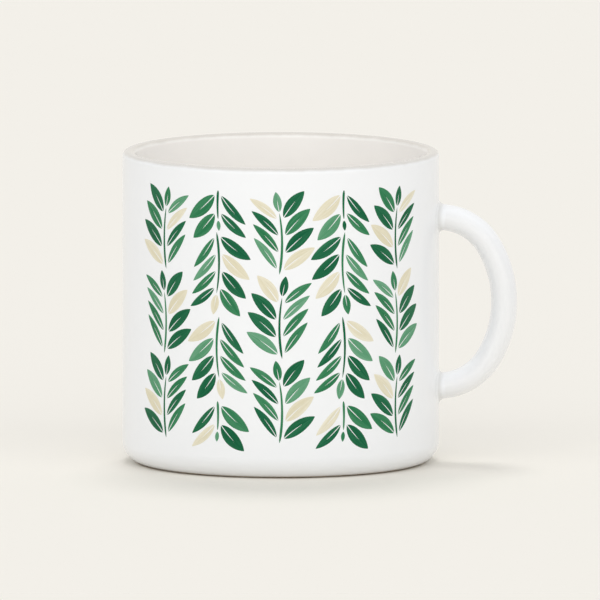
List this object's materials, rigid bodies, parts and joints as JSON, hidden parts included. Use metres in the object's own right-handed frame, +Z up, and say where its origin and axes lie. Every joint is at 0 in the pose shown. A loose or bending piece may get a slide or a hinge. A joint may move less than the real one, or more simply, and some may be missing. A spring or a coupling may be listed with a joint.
{
  "type": "coffee mug",
  "caption": "Straight-sided glazed mug with a rounded lip, a foot ring, a strap handle joined with slip and a leaf-sprig print in greens and cream.",
  "frame": {"origin": "on the table, under the middle of the cup", "axes": "+Z up along the cup's axis, +X towards the handle, -Y the way the print faces"},
  "size_m": [0.1097, 0.0881, 0.087],
  "materials": {
    "cup_glaze": "gloss white glaze",
    "handle_glaze": "gloss white glaze",
    "slip_glaze": "gloss white glaze",
    "ink_dark_green": "fired transfer ink",
    "ink_mid_green": "fired transfer ink",
    "ink_light_green": "fired transfer ink",
    "ink_cream": "fired transfer ink"
  },
  "bodies": {
    "root": {"cup_body": "cup_glaze", "handle": "handle_glaze", "upper_slip_joint": "slip_glaze", "lower_slip_joint": "slip_glaze", "print_dark_green": "ink_dark_green", "print_mid_green": "ink_mid_green", "print_light_green": "ink_light_green", "print_cream": "ink_cream"}
  },
  "joints": []
}
